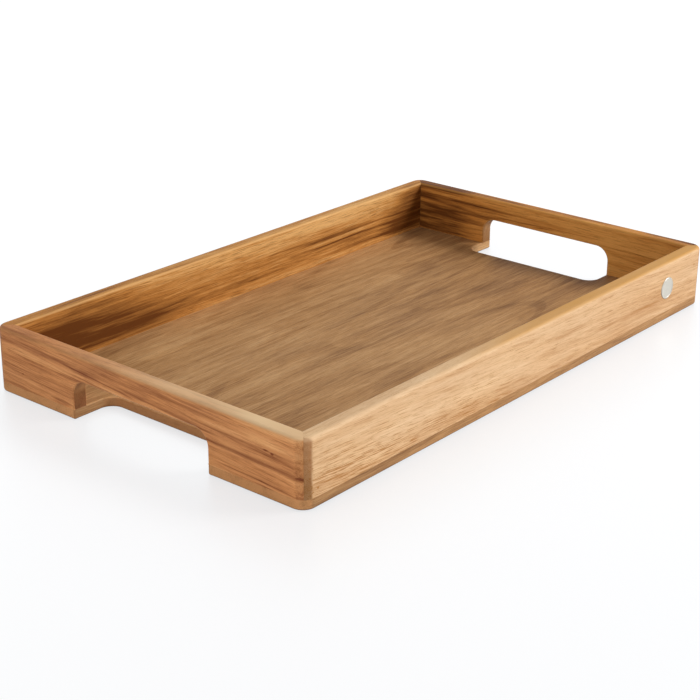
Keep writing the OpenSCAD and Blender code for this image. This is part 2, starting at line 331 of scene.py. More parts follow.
def wood_material(name, board, pale, body, dark, sawn=None, rim=None):
    """Oiled hardwood as a solid texture: rings round the pith, streaks, fibres, dashes and figure lines, with
    painted light and shade.
    """
    material, nodes, shader = new_material(name)
    place = nodes.add("ShaderNodeTexCoord", None, None, "Object")
    axes = dict(zip("xyz", nodes.split(place)))
    along, across, through = (axes[letter] * PER_METRE for letter in board.grain)
    seed = board.seed

    # The grain's own run, which swings a little
    drift = nodes.noise(nodes.vector(along / 150.0 + seed, across / 40.0, through / 40.0), 2.0)
    ripple = nodes.noise(nodes.vector(along / 24.0, across / 8.0 + seed, through / 8.0), 1.0)
    bend = drift * board.wander + ripple * 0.9
    level = across + along * board.slope + bend
    depth = through + drift * 3.0

    # What the grain is made of
    from_pith_across = level - board.pith[0] - along * board.tilt
    from_pith_through = depth - board.pith[1] - along * board.dip
    ring = (from_pith_across * from_pith_across + from_pith_through * from_pith_through).root()
    bands = nodes.noise(nodes.vector(ring / board.band, along * 0.004, seed), 4.0, 0.6)
    streak_place = nodes.vector(level / board.streak, depth / board.streak, along * 0.007 + seed)
    streaks = nodes.noise(streak_place, 5.0, 0.7)
    fibres = nodes.noise(nodes.vector(level * 1.5, depth * 1.5, along * 0.045 + seed), 3.0, 0.65)
    patches = nodes.noise(nodes.vector(along / 80.0, across / 22.0 + seed, through / 22.0), 2.0)
    dash_grain = nodes.noise(nodes.vector(level * 2.0, depth * 2.0, along * 0.06 - seed), 2.0, 0.6)
    if board.dash_run:
        start, full, top, low = board.dash_run
        dash_grain = dash_grain + nodes.ease(along, start, full) * nodes.ease(across, top, low) * 0.1 - 0.06
    dashes = nodes.ease(dash_grain + patches * 0.15, 0.03, 0.17)
    pore_place = nodes.vector(level * 1.7, depth * 1.7, along * 0.14 + seed)
    pores = nodes.spots(pore_place, 0.1, 0.24)

    # Tone, with the figure lines, lines of painted light and shade, and knots
    tone = board.shade + bands * board.bands + streaks * board.streaks
    tone = tone + fibres * board.fibres + patches * board.patches
    late_wood = nodes.ease((ring * 0.5 + bands * 7.0).sine(), 0.55, 1.0)
    if board.rings:
        tone = tone - late_wood * (0.6 + patches * 2.0).held() * board.rings
    inside = nodes.ease(board.middle - abs(through), -2.0, 2.0) if board.middle else 1.0
    for lines, share in ((board.lines, 1.0), (board.inner_lines, inside)):
        for start, start_level, end, end_level, thick, strength in lines:
            lean = (end_level - start_level) / (end - start)
            middle, half = (start + end) / 2, abs(end - start) / 2
            off = (across + bend - (along - middle) * lean - (start_level + end_level) / 2) / thick
            reach = 1.0 - nodes.ease(abs(along - middle), half * 0.6, half * 1.1)
            tone = tone - reach * (share * strength) * (1.0 + fibres * 1.6) / (1.0 + off * off) ** 2.0
    for middle, height, half_long, half_wide, strength in board.knots:
        away = (along - middle) / half_long
        off = (across + ripple - height) / half_wide
        far = (away**2.0 + off**2.0).root()
        tone = tone - (1.0 - nodes.ease(far, 0.35, 1.0)) * strength

    # Colour, then end grain, wear, and painted light and shade by the way the surface faces
    stops = [(0.0, dark), (0.5, body), (1.0, pale)]
    shade = nodes.add("ShaderNodeValToRGB", {"stops": stops}, {"Fac": tone.held()})
    warmth = (0.35 + patches * 1.5 - streaks * 0.8).held()
    shade = nodes.mix(warmth, shade, (1.0, 0.94, 0.84), "MULTIPLY")
    deep = [c * 0.5 for c in dark]

    facing = dict(zip("xyz", nodes.split(nodes.add("ShaderNodeTexCoord", None, None, "Normal"))))
    on_top = nodes.ease(facing["z"], 0.3, 0.9)
    if board.middle:
        dashes = dashes * (1.0 - on_top * 0.7)
    shade = nodes.mix((dashes * board.dashes).held(), shade, dark)
    end_on = abs(facing[board.grain[0]])
    end_grain = nodes.ease(end_on, 0.1, 0.35) * board.corner
    end_grain = end_grain + nodes.ease(end_on, 0.72, 0.95) * (board.end - board.corner)
    sawn = nodes.mix((late_wood * 0.15 - fibres).held(), sawn or dark, dark)
    if board.middle:
        sawn = nodes.mix(nodes.ease(across, 40.0, 8.0) * 0.8, sawn, deep)
    shade = nodes.mix((end_grain * (0.85 + streaks)).held(), shade, sawn)
    shade = nodes.mix(pores * 0.3, shade, deep)
    upright = (facing["x"] * facing["x"] + facing["y"] * facing["y"]).root()
    rounding_wear_and_light = abs(facing["z"]) * upright * 2.0
    if board.middle:
        # Painted highlight along the rim's inner rounding, partly wear; on the outer rounding painted shade,
        # or painted highlight where the rim is worn
        shade = nodes.mix((rounding_wear_and_light * inside * 0.45).held(), shade, pale)
        shade = nodes.mix((rounding_wear_and_light * (1.0 - inside) * 0.3).held(), shade, pale if board.worn else dark)
        # Painted shade on faces that look down, such as the top of the handle opening
        shade = nodes.mix(nodes.ease(facing["z"], -0.2, -0.8) * 0.5, shade, deep)
    else:
        # Painted highlight, partly wear, on the base's upper roundings
        shade = nodes.mix((rounding_wear_and_light * on_top * 0.16).held(), shade, pale)
        # Painted shade on the lower rounding, where the base turns under towards the table
        lower_rounding_shade = nodes.ease(facing["z"], -0.05, -0.5) * nodes.ease(facing["z"], -0.99, -0.85)
        shade = nodes.mix(lower_rounding_shade * 0.6, shade, deep)
    # The rim's own colour mixed in along the rail: a painted sheen growing towards the front corner on the
    # left rail, a golden tone towards the right on the front rail
    if board.worn:
        start, full, strength = board.worn
        rim_sheen_and_tone = nodes.ease(along, start, full) * on_top * (strength + patches)
        shade = nodes.mix(rim_sheen_and_tone.held(), shade, rim)
    # Painted shade on the walls of the finger notch at the left end
    if board.notch:
        far, half = board.notch
        notch_shade = nodes.ease(along, far + 8.0, far) * nodes.ease(abs(across), half + 2.0, half + 0.5)
        shade = nodes.mix(notch_shade * nodes.ease(abs(facing["z"]), 0.9, 0.3) * 0.5, shade, dark)

    rough = 0.55 + pores * 0.2 - bands * 0.12 + end_grain * 0.1
    height = fibres * 0.6 + bands * 0.3 - pores * 0.6 - dashes * 0.3
    nodes.dress(shader, shade, rough.held(0.25, 0.9), height, 0.35, 0.1 * MM)
    shader.inputs["Specular IOR Level"].default_value = 0.14
    return material


def joinery_material(name, turn, pale, dark):
    """Pale, close-grained wood of the dowels and splines. Turn lays the grain along the piece."""
    material, nodes, shader = new_material(name)
    place = nodes.add("ShaderNodeTexCoord", None, None, "Object")
    sockets = {"Vector": place, "Rotation": turn, "Scale": [PER_METRE] * 3}
    x, y, z = nodes.split(nodes.add("ShaderNodeMapping", None, sockets))
    streaks = nodes.noise(nodes.vector(x * 0.9, y * 0.9, z * 0.05), 4.0, 0.6)
    flecks = nodes.spots(nodes.vector(x * 1.4, y * 1.4, z * 0.4), 0.1, 0.3)
    shade = nodes.mix((0.4 + streaks * 1.2 + flecks * 0.3).held(), pale, dark)
    nodes.dress(shader, shade, 0.6 + streaks * 0.2, streaks - flecks * 0.4, 0.3, 0.1 * MM)
    return material


def badge_material(name, metal, centre):
    """Turned and satin-brushed metal: fine rings about the badge's centre and a few soft smudges."""
    material, nodes, shader = new_material(name)
    place = nodes.add("ShaderNodeTexCoord", None, None, "Object")
    shift = [-c * PER_METRE for c in centre]
    sockets = {"Vector": place, "Location": shift, "Scale": [PER_METRE] * 3}
    x, y, z = nodes.split(nodes.add("ShaderNodeMapping", None, sockets))
    radius = (x * x + z * z).root()
    rings = nodes.noise(nodes.vector(radius * 9.0, 0.0, 0.0), 3.0, 0.7)
    smudge = nodes.noise(nodes.vector(x * 0.22, y * 0.22, z * 0.22), 3.0)
    worn = [c * 0.86 for c in metal]
    shade = nodes.mix((0.3 + rings * 0.4 + smudge * 0.3).held(), metal, worn)
    rough = (0.42 + smudge * 0.25 + rings * 0.1).held(0.25, 0.6)
    nodes.dress(shader, shade, rough, rings, 0.15, 0.03 * MM)
    shader.inputs["Metallic"].default_value = 1.0
    return material


def arc(centre, radius, start, end, steps):
    """Points on an arc, with both ends; angles in degrees."""
    turns = [math.radians(start + (end - start) * i / steps) for i in range(steps + 1)]
    return [Vector((centre[0] + radius * math.cos(a), centre[1] + radius * math.sin(a))) for a in turns]


def object_from(name, mesh):
    """A mesh object in the scene."""
    piece = bpy.data.objects.new(name, mesh)
    bpy.context.scene.collection.objects.link(piece)
    return piece


def object_from_bmesh(name, bm):
    """A mesh object from a bmesh, which is freed."""
    bmesh.ops.recalc_face_normals(bm, faces=bm.faces)
    mesh = bpy.data.meshes.new(name)
    bm.to_mesh(mesh)
    bm.free()
    return object_from(name, mesh)


def apply_modifiers(piece):
    """Puts the evaluated mesh in place of the piece's own and takes its modifiers off."""
    graph = bpy.context.evaluated_depsgraph_get()
    made = bpy.data.meshes.new_from_object(piece.evaluated_get(graph))
    piece.modifiers.clear()
    old = piece.data
    piece.data = made
    made.name = piece.name
    bpy.data.meshes.remove(old)


def loft(rings):
    """A closed bmesh through rings of equally many points, with a face over the first and the last."""
    bm = bmesh.new()
    rows = [[bm.verts.new(point) for point in ring] for ring in rings]
    count = len(rows[0])
    for lower, upper in zip(rows, rows[1:]):
        for i in range(count):
            j = (i + 1) % count
            bm.faces.new((lower[i], lower[j], upper[j], upper[i]))
    caps = [bm.faces.new(rows[0][::-1]), bm.faces.new(rows[-1])]
    return bm, caps


def cut(piece, shapes):
    """Takes the closed bmesh shapes off a piece."""
    for shape in shapes:
        tool = object_from_bmesh("cutter", shape)
        step = piece.modifiers.new("cut", "BOOLEAN")
        step.operation = "DIFFERENCE"
        step.solver = "MANIFOLD"
        step.object = tool
        apply_modifiers(piece)
        bpy.data.meshes.remove(tool.data)


def round_edges(bm, edges, width, segments):
    """Rounds edges of a bmesh."""
    bmesh.ops.bevel(
        bm, geom=edges, offset=width, segments=segments, profile=0.5, affect="EDGES", clamp_overlap=False
    )


def ease_edges(piece, chosen, width, segments):
    """Rounds the edges of a piece that a test picks."""
    bm = bmesh.new()
    bm.from_mesh(piece.data)
    edges = [edge for edge in bm.edges if len(edge.link_faces) == 2 and chosen(edge)]
    if not edges:
        raise RuntimeError(f"{piece.name} has no edge to round")
    round_edges(bm, edges, width, segments)
    bm.to_mesh(piece.data)
    bm.free()


def finish(piece, node, material):
    """Smooths a piece's roundings, gives it its material and hands it to the frame."""
    bm = bmesh.new()
    bm.from_mesh(piece.data)
    bmesh.ops.remove_doubles(bm, verts=bm.verts, dist=2 * SAME)
    bmesh.ops.dissolve_degenerate(bm, edges=bm.edges, dist=2 * SAME)
    bmesh.ops.recalc_face_normals(bm, faces=bm.faces)
    loose = [edge for edge in bm.edges if not edge.is_manifold]
    if loose:
        raise RuntimeError(f"{piece.name} isn't closed at {len(loose)} edges")
    bm.to_mesh(piece.data)
    bm.free()
    piece.data.shade_smooth()
    piece.data.set_sharp_from_angle(angle=math.radians(38))
    weighted = piece.modifiers.new("normals", "WEIGHTED_NORMAL")
    weighted.keep_sharp = True
    apply_modifiers(piece)
    piece.data.materials.clear()
    piece.data.materials.append(material)
    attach(piece, BODY)
    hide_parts(node)


def box_shape(low, high):
    """A box as a bmesh, for cutting."""
    ring = ((low[0], low[1]), (high[0], low[1]), (high[0], high[1]), (low[0], high[1]))
    return loft([[(x, y, z) for x, y in ring] for z in (low[2], high[2])])[0]


def peg_shape(centre, radius, low, high):
    """An upright round hole as a bmesh, for cutting."""
    ring = arc(centre, radius, 0, 360, 32)[:-1]
    return loft([[(p.x, p.y, z) for p in ring] for z in (low, high)])[0]


def turned(bm, matrix):
    """A bmesh moved by a matrix."""
    bm.transform(matrix)
    return bm


def rail_places(sizes):
    """For each rail: its length and the matrix that turns it from its own frame into the tray's."""
    front = Matrix.Translation((0, -sizes.wide / 2, 0))
    right = Matrix.Rotation(math.radians(90), 4, "Z") @ Matrix.Translation((0, -sizes.long / 2, 0))
    half_turn = Matrix.Rotation(math.radians(180), 4, "Z")
    return {
        "front_rail": (sizes.long, front),
        "back_rail": (sizes.long, half_turn @ front),
        "right_end_rail": (sizes.wide, right),
        "left_end_rail": (sizes.wide, half_turn @ right),
    }


def rail_shape(sizes, long):
    """A mitred rail along X, its outer face on Y = 0 and its rim rounded, swept from mitre to mitre."""
    steps, rim_steps = 10, 6
    corner, thick, arris = sizes.corner, sizes.rail, sizes.arris
    stations = []
    for side, start in ((-1, 225), (1, 270)):
        centre = (side * (long / 2 - corner), corner)
        for i, point in enumerate(arc(centre, corner, start, start + 45, steps)):
            turn = math.radians(start + 45 * i / steps)
            share = i / steps if side < 0 else 1 - i / steps
            inner = Vector((side * (long / 2 - thick - share * thick / 3), thick))
            mitre = side if share == 0 else 0
            stations.append((point, Vector((-math.cos(turn), -math.sin(turn))), inner, mitre))
    quarter = [math.radians(90 * k / rim_steps) for k in range(rim_steps + 1)]
    foot = [(arris, sizes.base), (arris * 0.3, sizes.base + arris * 0.3), (0.0, sizes.base + arris)]
    outside, inside = (
        foot + [(rim - rim * math.cos(a), sizes.high - rim + rim * math.sin(a)) for a in quarter]
        for rim in (sizes.rim_outside, sizes.rim)
    )
    rings = []
    for outer, inward, inner, mitre in stations:
        ring = [(*(outer + inward * depth), z) for depth, z in outside]
        ring += [(inner.x + mitre * depth, inner.y - depth, z) for depth, z in reversed(inside)]
        rings.append(ring)
    bm, caps = loft(rings)
    mitres = list(dict.fromkeys(edge for cap in caps for edge in cap.edges))
    round_edges(bm, mitres, arris * 0.7, 2)
    return bm


def joint_holes(sizes, long, dowels):
    """Spline slots and dowel holes in a rail, in the rail's own frame."""
    half_thick, half_wide = sizes.spline_thick / 2 + FIT, sizes.spline_wide / 2 + FIT
    holes = []
    for side in (-1, 1):
        slot = box_shape((-half_thick, -half_wide, -OVER), (half_thick, half_wide, SPLINE_SLOT))
        foot = Matrix.Translation((side * (long / 2 - sizes.rail), sizes.rail, sizes.base))
        lean = Matrix.Rotation(math.radians(45 * side - 90), 4, "Z")
        holes.append(turned(slot, foot @ lean @ Matrix.Translation((SPLINE_SHIFT, 0, 0))))
    top = sizes.base + sizes.dowel_long - DOWEL_DEPTH + DOWEL_PLAY
    for place in dowels:
        holes.append(peg_shape((place, sizes.rail / 2), sizes.dowel / 2 + FIT, sizes.base - OVER, top))
    return holes


def dowel_places(sizes):
    """Places of the dowels along a long rail and along an end rail."""
    spread = sizes.long - 2 * DOWEL_ROW_INSET
    long = [spread * (i / 4 - 0.5) for i in range(5)]
    near = sizes.grip / 2 + DOWEL_FOOT_INSET
    far = sizes.wide / 2 - sizes.rail - DOWEL_FOOT_INSET
    return long, [-far, -near, near, far]


def badge_centre(sizes):
    """Middle of the badge on the front rail's outer face."""
    middle = (BADGE_LOW + BADGE_HIGH) / 2
    return Vector((middle.x, -sizes.wide / 2, middle.z))


FRONT = Board(
    "xzy", 3.1, middle=144, pith=(120, -60), tilt=0.015, slope=0.06, streak=6, bands=0.3,
    streaks=0.85, fibres=1.15, dashes=0.9, dash_run=(60, -180, 46, 16), shade=0.54, corner=0.85, end=0.9,
    worn=(-150, 60, 0.8),
    lines=(
        # Painted sheen on the rim's left part
        (-330, 51, -20, 51, 1.4, -0.3),
        (-50, 24, 190, 20, 2.5, 0.16),
        (90, 25, 420, 25, 40, 0.18),
        (-240, 10, -60, 12, 4, 0.14),
        (-290, 15, -190, 16, 6, 0.2),
        (-120, 10, 150, 10, 6, 0.18),
        (-190, 28, 10, 24, 6, -0.26),
        (0, 32.5, 130, 29.5, 3.5, 0.15),
        (190, 29, 290, 29, 7, -0.3),
    ),
    knots=((235, 37, 1, 0.9, 0.6), (-237, 13.5, 1.1, 0.9, 0.6)),
)
BACK = Board(
    "xzy", 17.7, middle=144, pith=(70, 60), streak=4.5, bands=0.6, streaks=1.6, fibres=1,
    shade=0.56,
    lines=(
        (-170, 46, 250, 46, 6, -0.36),
        (20, 46, 238, 44, 6, -0.15),
        (-250, 51, 250, 51, 1.5, 0.3),
        (60, 30.5, 245, 28, 1.3, 0.24),
        (60, 25, 245, 21.5, 1.1, 0.4),
        (10, 33.5, 150, 31, 0.8, 0.26),
        (-245, 17, 245, 16, 8, 0.14),
        (-260, 21, -90, 18, 1.2, 0.25),
    ),
    inner_lines=(
        # Painted shadow on the inner side: over the left part, and by the right end rail near the corner
        (-350, 21, -50, 17, 16, 0.5),
        (-420, 34, -80, 34, 24, 0.27),
        (178, 21, 312, 21, 15, 0.5),
        (196, 40, 300, 40, 14, 0.34),
    ),
)
# The left rail's worn rim mix paints a sheen towards the front corner
LEFT = Board(
    "yzx", 29.3, middle=244, pith=(-70, -120), tilt=0.03, slope=-0.06, wander=5, streak=6, bands=0.6,
    streaks=1.8, dashes=0.4, shade=0.535, corner=0.22, end=0.9, worn=(110, -110, 0.8),
    lines=(
        (175, 43, 76, 41, 3, 0.3),
        (112, 39.5, 10, 29.5, 0.9, 0.34),
        (104, 36, 20, 27.5, 0.7, 0.3),
        (92, 42, -4, 33, 0.7, 0.3),
        (150, 26, 90, 22, 0.8, 0.25),
        (30, 38, -84, 30, 1.4, 0.42),
        (-44, 27, -174, 20.6, 2.5, 0.56),
        (-50, 35.8, -160, 32, 1.3, 0.3),
        (-70, 13, -150, 9, 0.8, 0.35),
        (-74, 10, -146, 6.5, 0.6, 0.3),
        (10, 46.5, -90, 46.5, 2.2, 0.15),
        (10, 42.5, -125, 42.5, 3, 0.19),
        (70, 38, -40, 37.5, 2.5, 0.15),
        (-45, 38.5, -140, 37.5, 2.5, -0.25),
        (-90, 46.5, -170, 46.5, 3, -0.3),
        (80, 36, -80, 36, 14, 0.1),
        (190, 51, 40, 51, 1.5, 0.18),
    ),
    knots=(
        (-117.5, 34.2, 3.2, 0.9, 0.3),
        (-123, 33, 2, 1.2, 0.35),
        (79, 10, 15, 3.5, 0.25),
        (120, 20, 1.2, 0.7, 0.6),
    ),
)
RIGHT = Board(
    "yzx", 41.9, middle=244, pith=(90, 80), tilt=0.03, wander=7, streak=6, bands=0.6, streaks=2.4,
    dashes=0.4, shade=0.56,
    lines=(
        (150, 40, 62, 34, 1.8, 0.3),
        (118, 43, -30, 39, 1.3, 0.4),
        (62, 35, -60, 36, 1, 0.36),
        (150, 34, 55, 25, 3, 0.24),
        (145, 46, -145, 45, 3, -0.25),
        (170, 51, -170, 51, 1.5, 0.2),
        (190, 50, 80, 50, 2.5, 0.45),
        (-90, 50, -190, 50, 2.5, 0.5),
        (-62, 26, -150, 19, 1.8, 0.4),
        (-62, 17, -150, 11, 2.2, 0.42),
        (-70, 33, -140, 30, 1.2, 0.3),
    ),
    inner_lines=(
        # On the inner side: darker at the back end's foot, painted shade in the far corner, painted light
        # towards the front
        (200, 18, 76, 18, 16, 0.55),
        (230, 36, 30, 36, 14, 0.3),
        (10, 30, -200, 30, 26, -0.4),
    ),
)
STAVE_LOOK = {
    "streak": 6, "bands": 0.25, "streaks": 1.2, "fibres": 1.1, "patches": 0.8, "dashes": 0.45, "rings": 0.2,
    "shade": 0.53, "corner": 0.6, "end": 0.9, "notch": (-215, 65.5),
}
STAVES = [
    Board("xyz", seed, **{**STAVE_LOOK, **look})
    for seed, look in (
        (
            53.3,
            {
                "pith": (-118, -42),
                "dip": 0.09,
                "lines": (
                    (90, -150, 320, -150, 4, -0.08),
                    (-330, -150, 150, -150, 4, 0.15),
                    (80, -110, 420, -110, 30, 0.2),
                ),
            },
        ),
        (61.7, {"pith": (-62, -36), "dip": -0.08, "lines": ((80, -60, 420, -60, 50, 0.23),)}),
        (73.1, {"pith": (4, -40), "dip": 0.1, "lines": ((80, 0, 420, 0, 50, 0.2),)}),
        (
            87.9,
            {
                "pith": (66, -34),
                "dip": -0.09,
                "shade": 0.57,
                # The second line is painted light on the base's cheek in the right notch
                "lines": ((120, 60, 420, 60, 50, 0.2), (206, 65.5, 262, 65.5, 2, -0.36)),
            },
        ),
        (97.7, {"pith": (112, -40), "dip": 0.1, "shade": 0.6, "lines": ((140, 120, 420, 120, 50, 0.2),)}),
    )
]


def shades(colours, board, *more):
    """A board's colours: pale, body and dark, and more by name."""
    return [tuple(getattr(colours, f"{board}_{grain}")) for grain in ("pale", "body", "dark", *more)]


class TRAY_OT_long_rails(bpy.types.Operator):
    """Builds the front and back rails"""

    bl_idname = "tray.long_rails"
    bl_label = "Long Rails"

    def execute(self, context):
        sizes, colours = context.scene.tray_sizes, context.scene.tray_colours
        dowels = dowel_places(sizes)[0]
        for node, slot, board, wood in (
            ("front_rail", "rail_honey", FRONT, shades(colours, "front", "end", "rim")),
            ("back_rail", "rail_golden", BACK, shades(colours, "back")),
        ):
            long, place = rail_places(sizes)[node]
            piece = object_from_bmesh("mitred_" + node, rail_shape(sizes, long))
            cut(piece, joint_holes(sizes, long, dowels))
            if node == "front_rail":
                cut(piece, self.badge_seat(sizes))
            piece.data.transform(place)
            finish(piece, node, wood_material("wood_" + node, board, *wood))
        return {"FINISHED"}

    def badge_seat(self, sizes):
        """The badge's shallow round seat and the hole for its pin."""
        middle = badge_centre(sizes) + Vector((0, sizes.wide / 2, 0))
        lie_back = Matrix.Translation(middle) @ Matrix.Rotation(math.radians(-90), 4, "X")
        seat = peg_shape((0, 0), sizes.badge / 2 + FIT, -OVER, BADGE_BACK)
        pin = peg_shape((0, 0), PIN_RADIUS + FIT, BADGE_BACK / 2, PIN_END + 0.5 * MM)
        return [turned(seat, lie_back), turned(pin, lie_back)]


class TRAY_OT_end_rails(bpy.types.Operator):
    """Builds the two end rails with their handle openings"""

    bl_idname = "tray.end_rails"
    bl_label = "End Rails"

    def execute(self, context):
        sizes, colours = context.scene.tray_sizes, context.scene.tray_colours
        dowels = dowel_places(sizes)[1]
        for node, slot, board, wood in (
            ("left_end_rail", "rail_red_brown", LEFT, shades(colours, "left", "end", "rim")),
            ("right_end_rail", "rail_brown", RIGHT, shades(colours, "right", "end")),
        ):
            long, place = rail_places(sizes)[node]
            piece = object_from_bmesh("mitred_" + node, rail_shape(sizes, long))
            cut(piece, [self.grip_shape(sizes)])
            ease_edges(piece, lambda edge: self.round_here(sizes, edge), sizes.grip_round, 5)
            ease_edges(piece, lambda edge: self.foot_here(sizes, edge), sizes.arris, 2)
            cut(piece, joint_holes(sizes, long, dowels))
            piece.data.transform(place)
            finish(piece, node, wood_material("wood_" + node, board, *wood))
        return {"FINISHED"}

    def grip_shape(self, sizes):
        """The opening below the carrying bar, through the rail's thickness."""
        half, top, radius = sizes.grip / 2, sizes.grip_top, sizes.grip_corner
        outline = [Vector((half, sizes.base - OVER))]
        outline += arc((half - radius, top - radius), radius, 0, 90, 14)
        outline += arc((radius - half, top - radius), radius, 90, 180, 14)
        outline += [Vector((-half, sizes.base - OVER))]
        return loft([[(p.x, y, p.y) for p in outline] for y in (-OVER, sizes.rail + OVER)])[0]

    def round_here(self, sizes, edge):
        """Whether an edge runs round the opening on a face of the rail."""
        middle = (edge.verts[0].co + edge.verts[1].co) / 2
        walls = sorted(abs(face.normal.y) for face in edge.link_faces)
        slack = 0.1 * MM
        inside = abs(middle.x) < sizes.grip / 2 + slack and middle.z < sizes.grip_top + slack
        return inside and walls[0] < 0.1 and walls[1] > 0.9

    def foot_here(self, sizes, edge):
        """Whether an edge of the opening stands on the base."""
        low = all(abs(vert.co.z - sizes.base) < 10 * SAME for vert in edge.verts)
        walls = sorted(abs(face.normal.z) for face in edge.link_faces)
        near = all(abs(vert.co.x) < sizes.grip / 2 + 2 * MM for vert in edge.verts)
        return low and near and walls[0] < 0.2 and walls[1] > 0.9


class TRAY_OT_base(bpy.types.Operator):
    """Builds the five staves of the base with the finger notches"""

    bl_idname = "tray.base"
    bl_label = "Base Staves"

    def execute(self, context):
        sizes, colours = context.scene.tray_sizes, context.scene.tray_colours
        wood = shades(colours, "base", "end")
        inner = [sizes.stave * step for step in (-1.5, -0.5, 0.5, 1.5)]
        edges = [-sizes.wide / 2, *inner, sizes.wide / 2]
        for number, (board, low, high) in enumerate(zip(STAVES, edges, edges[1:]), start=1):
            node = f"base_stave_{number}"
            piece = self.stave(sizes, node, low, high)
            cut(piece, self.dowel_holes(sizes, low, high))
            finish(piece, node, wood_material("wood_" + node, board, *wood))
        return {"FINISHED"}

    def dowel_holes(self, sizes, low, high):
        """Dowel holes in the base between two lines of Y."""
        long, short = dowel_places(sizes)
        inset = sizes.rail / 2
        places = [(x, y) for x in long for y in (inset - sizes.wide / 2, sizes.wide / 2 - inset)]
        places += [(x, y) for y in short for x in (inset - sizes.long / 2, sizes.long / 2 - inset)]
        radius, bottom, top = sizes.dowel / 2 + FIT, sizes.base - DOWEL_DEPTH, sizes.base + OVER
        return [peg_shape(place, radius, bottom, top) for place in places if low < place[1] < high]

    def end_line(self, sizes, low, high):
        """The right end of a stave from low to high: its points, and each edge's lower and upper rounding."""
        x_out, x_in = sizes.long / 2, sizes.long / 2 - sizes.notch
        half, grip, arris = sizes.grip / 2, sizes.grip_round, sizes.arris
        far, near, past = 8 * MM, 3 * MM, 4 * MM  # from the opening, where the rounding changes
        edge, tip = 1.5 * MM, 1.3 * MM
        points, trims = [], []

        def run(more, under, above):
            points.extend(Vector(point) for point in more)
            trims.extend([(under, above)] * (len(points) - 1 - len(trims)))

        if low <= -sizes.wide / 2 + SAME:
            corner = sizes.corner
            run(arc((x_out - corner, low + corner), corner, 270, 360, 16), sizes.base_round, arris)
            run([(x_out, high)], sizes.base_round, arris)
        elif low < -half < high:
            run([(x_out, low), (x_out, -half - far)], sizes.base_round, arris)
            run([(x_out, -half - near)], edge, arris)
            run(arc((x_out - grip, -half - grip), grip, 0, 90, 6), tip, arris)
            run([(x_out - past, -half)], tip, arris)
            under_rail = x_out - sizes.rail
            run([(under_rail + 0.6 * MM, -half)], grip, arris)
            run([(under_rail - 0.2 * MM, -half)], grip, grip)
            notch = sizes.notch_corner
            run(arc((x_in + notch, -half + notch), notch, 270, 180, 14), grip, grip)
            run([(x_in, high)], grip, grip)
        else:
            run([(x_in, low), (x_in, high)], grip, grip)
        return points, trims

    def stave(self, sizes, name, low, high):
        """One stave: its outline, with a rounding of its own on each edge, lofted from below to the top."""
        if low + high > SAME:
            points, trims = self.end_line(sizes, -high, -low)
            points = [Vector((point.x, -point.y)) for point in reversed(points)]
            trims = trims[::-1]
        else:
            points, trims = self.end_line(sizes, low, high)
        hair = (sizes.hairline, sizes.hairline)
        outer = (sizes.base_round, sizes.arris)
        front_edge = outer if low <= -sizes.wide / 2 + SAME else hair
        back_edge = outer if high >= sizes.wide / 2 - SAME else hair
        outline = points + [Vector((-point.x, point.y)) for point in reversed(points)]
        trims = [*trims, back_edge, *reversed(trims), front_edge]
        return self.slab(name, outline, trims, sizes.base)

    def slab(self, name, points, trims, top):
        """A slab from an outline whose edges carry their own roundings below and above."""
        steps = 6
        count = len(points)
        normals = []
        for i in range(count):
            side = (points[(i + 1) % count] - points[i]).normalized()
            normals.append(Vector((-side.y, side.x)))
        rings = []
        levels = [(0, k) for k in range(steps + 1)] + [(1, k) for k in range(steps, -1, -1)]
        for which, k in levels:
            turn = math.radians(90 * k / steps)
            inwards = 1 - math.sin(turn)
            ring = []
            for i in range(count):
                before, after = trims[i - 1][which], trims[i][which]
                shift = self.inset(normals[i - 1], normals[i], before * inwards, after * inwards)
                rise = max(before, after) * (1 - math.cos(turn))
                ring.append((*(points[i] + shift), top - rise if which else rise))
            rings.append(ring)
        return object_from_bmesh("edge_glued_" + name, loft(rings)[0])

    def inset(self, first, second, first_by, second_by):
        """How far a corner moves when its two edges move inwards by their own distances."""
        nearly_straight = 0.02
        cross = first.x * second.y - first.y * second.x
        if abs(cross) < nearly_straight:
            return (first + second).normalized() * (first_by + second_by) / 2
        x = first_by * second.y - second_by * first.y
        y = second_by * first.x - first_by * second.x
        return Vector((x, y)) / cross


